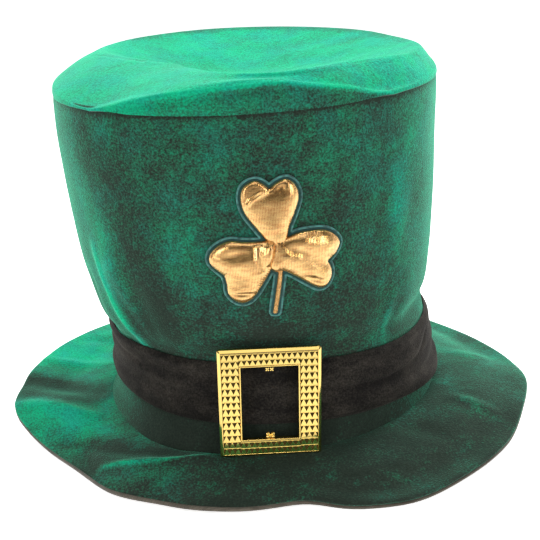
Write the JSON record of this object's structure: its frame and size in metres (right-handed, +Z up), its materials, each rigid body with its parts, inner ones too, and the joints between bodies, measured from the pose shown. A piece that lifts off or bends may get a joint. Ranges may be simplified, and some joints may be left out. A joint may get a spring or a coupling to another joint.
{
  "type": "leprechaun hat",
  "caption": "Tall costume hat with a flared crown, dished top, soft wavy brim, hatband, square studded buckle and padded shamrock.",
  "frame": {"origin": "middle of the hat's footprint, on the surface that the brim rests on", "axes": "+Z up through the crown, -Y out of the front with the buckle and the shamrock, +X along the longer way of the brim, to the wearer's left"},
  "size_m": [0.3136, 0.2854, 0.2163],
  "materials": {
    "green_velour": "short plush pile",
    "lining_cloth": "matte woven",
    "black_velour": "short plush pile",
    "gold_plastic": "gold plated gloss",
    "gold_cloth": "metallic sheen",
    "teal_thread": "satin stitch"
  },
  "bodies": {
    "root": {"crown_side": "green_velour", "crown_tip": "green_velour", "brim_top": "green_velour", "brim_under": "lining_cloth", "hatband": "black_velour", "buckle": "gold_plastic", "shamrock_pad": "gold_cloth", "shamrock_edging": "teal_thread"}
  },
  "joints": []
}
